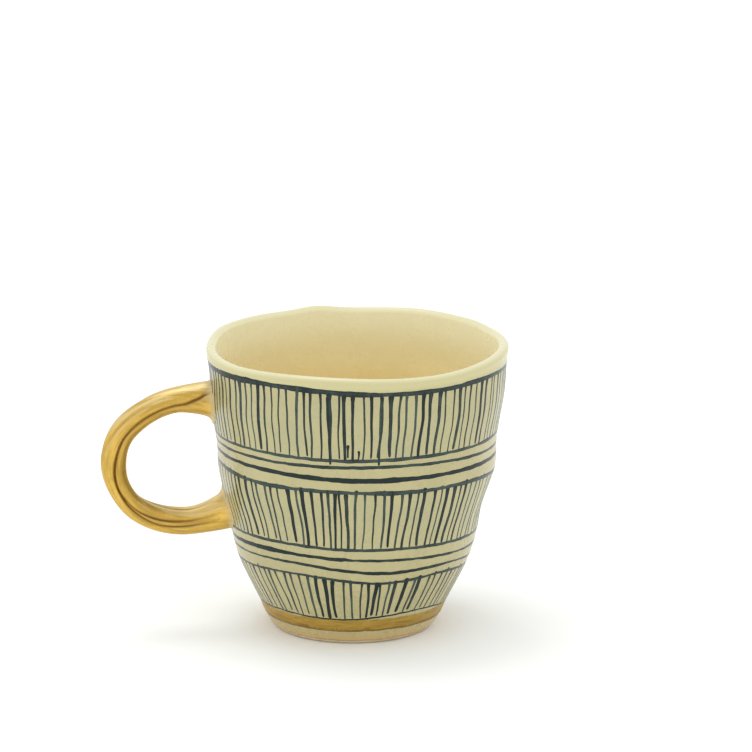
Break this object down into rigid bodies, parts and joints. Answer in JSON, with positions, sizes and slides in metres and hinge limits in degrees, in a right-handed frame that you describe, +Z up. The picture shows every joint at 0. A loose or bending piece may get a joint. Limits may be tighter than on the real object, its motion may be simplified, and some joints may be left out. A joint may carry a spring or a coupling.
{
  "type": "ceramic mug",
  "caption": "Handmade tapered ceramic mug with a loop handle of twisted clay coils, painted line bands and a gold lustre ring above the foot.",
  "frame": {"origin": "centre of the flat underside, on the cup's axis", "axes": "+Z up along the cup's axis, the handle loops out along -X"},
  "size_m": [0.1226, 0.0897, 0.0876],
  "materials": {
    "cream_glaze": "warm cream satin glaze",
    "foot_clay": "thinly glazed cream clay, bare and matt underneath",
    "gold_lustre": "brushed-on metallic gold lustre over fired ceramic"
  },
  "bodies": {
    "root": {"base_slab": "foot_clay", "cup_wall": "cream_glaze", "inner_seam_coil": "cream_glaze", "handle_coil_1": "gold_lustre", "handle_coil_2": "gold_lustre", "handle_coil_3": "gold_lustre", "upper_handle_joint": "gold_lustre", "lower_handle_joint": "gold_lustre", "gold_foot_band": "gold_lustre"}
  },
  "joints": []
}
